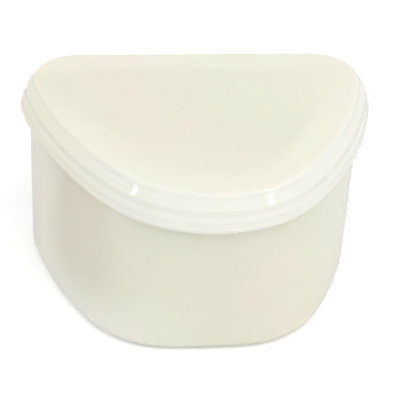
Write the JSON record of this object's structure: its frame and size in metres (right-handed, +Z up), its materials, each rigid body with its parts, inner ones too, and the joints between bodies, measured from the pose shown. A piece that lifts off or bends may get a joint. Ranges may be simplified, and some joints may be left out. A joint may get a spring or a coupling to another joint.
{
  "type": "denture case",
  "caption": "D-shaped ivory denture case: a tapering tub with a stepped snap-shut lid hinged on its flat back, and a lift-out strainer basket with a folding bail inside.",
  "frame": {"origin": "middle of the overall width and depth, on the surface that the case stands on", "axes": "+X to the right across the width, +Y towards the flat hinged back, +Z up; the curved front faces -Y"},
  "size_m": [0.095, 0.0799, 0.0548],
  "materials": {
    "ivory_plastic": "glossy moulded ivory plastic",
    "pin_steel": "plain stainless steel wire",
    "basket_plastic": "satin natural white plastic",
    "bail_plastic": "satin natural white plastic"
  },
  "bodies": {
    "case": {"tub": "ivory_plastic", "hinge_pin": "pin_steel", "strainer_basket": "basket_plastic"},
    "lid": {"lid": "ivory_plastic"},
    "bail": {"basket_bail": "bail_plastic"}
  },
  "joints": [
    {"name": "lid_hinge", "type": "hinge", "parent": "case", "child": "lid", "pos_m": [0, 0.03723, 0.0453], "axis": [-1, 0, 0], "range_deg": [0, 110]},
    {"name": "bail_pivot", "type": "hinge", "parent": "case", "child": "bail", "pos_m": [0, 0.00348, 0.0338], "axis": [1, 0, 0], "range_deg": [0, 110]}
  ]
}
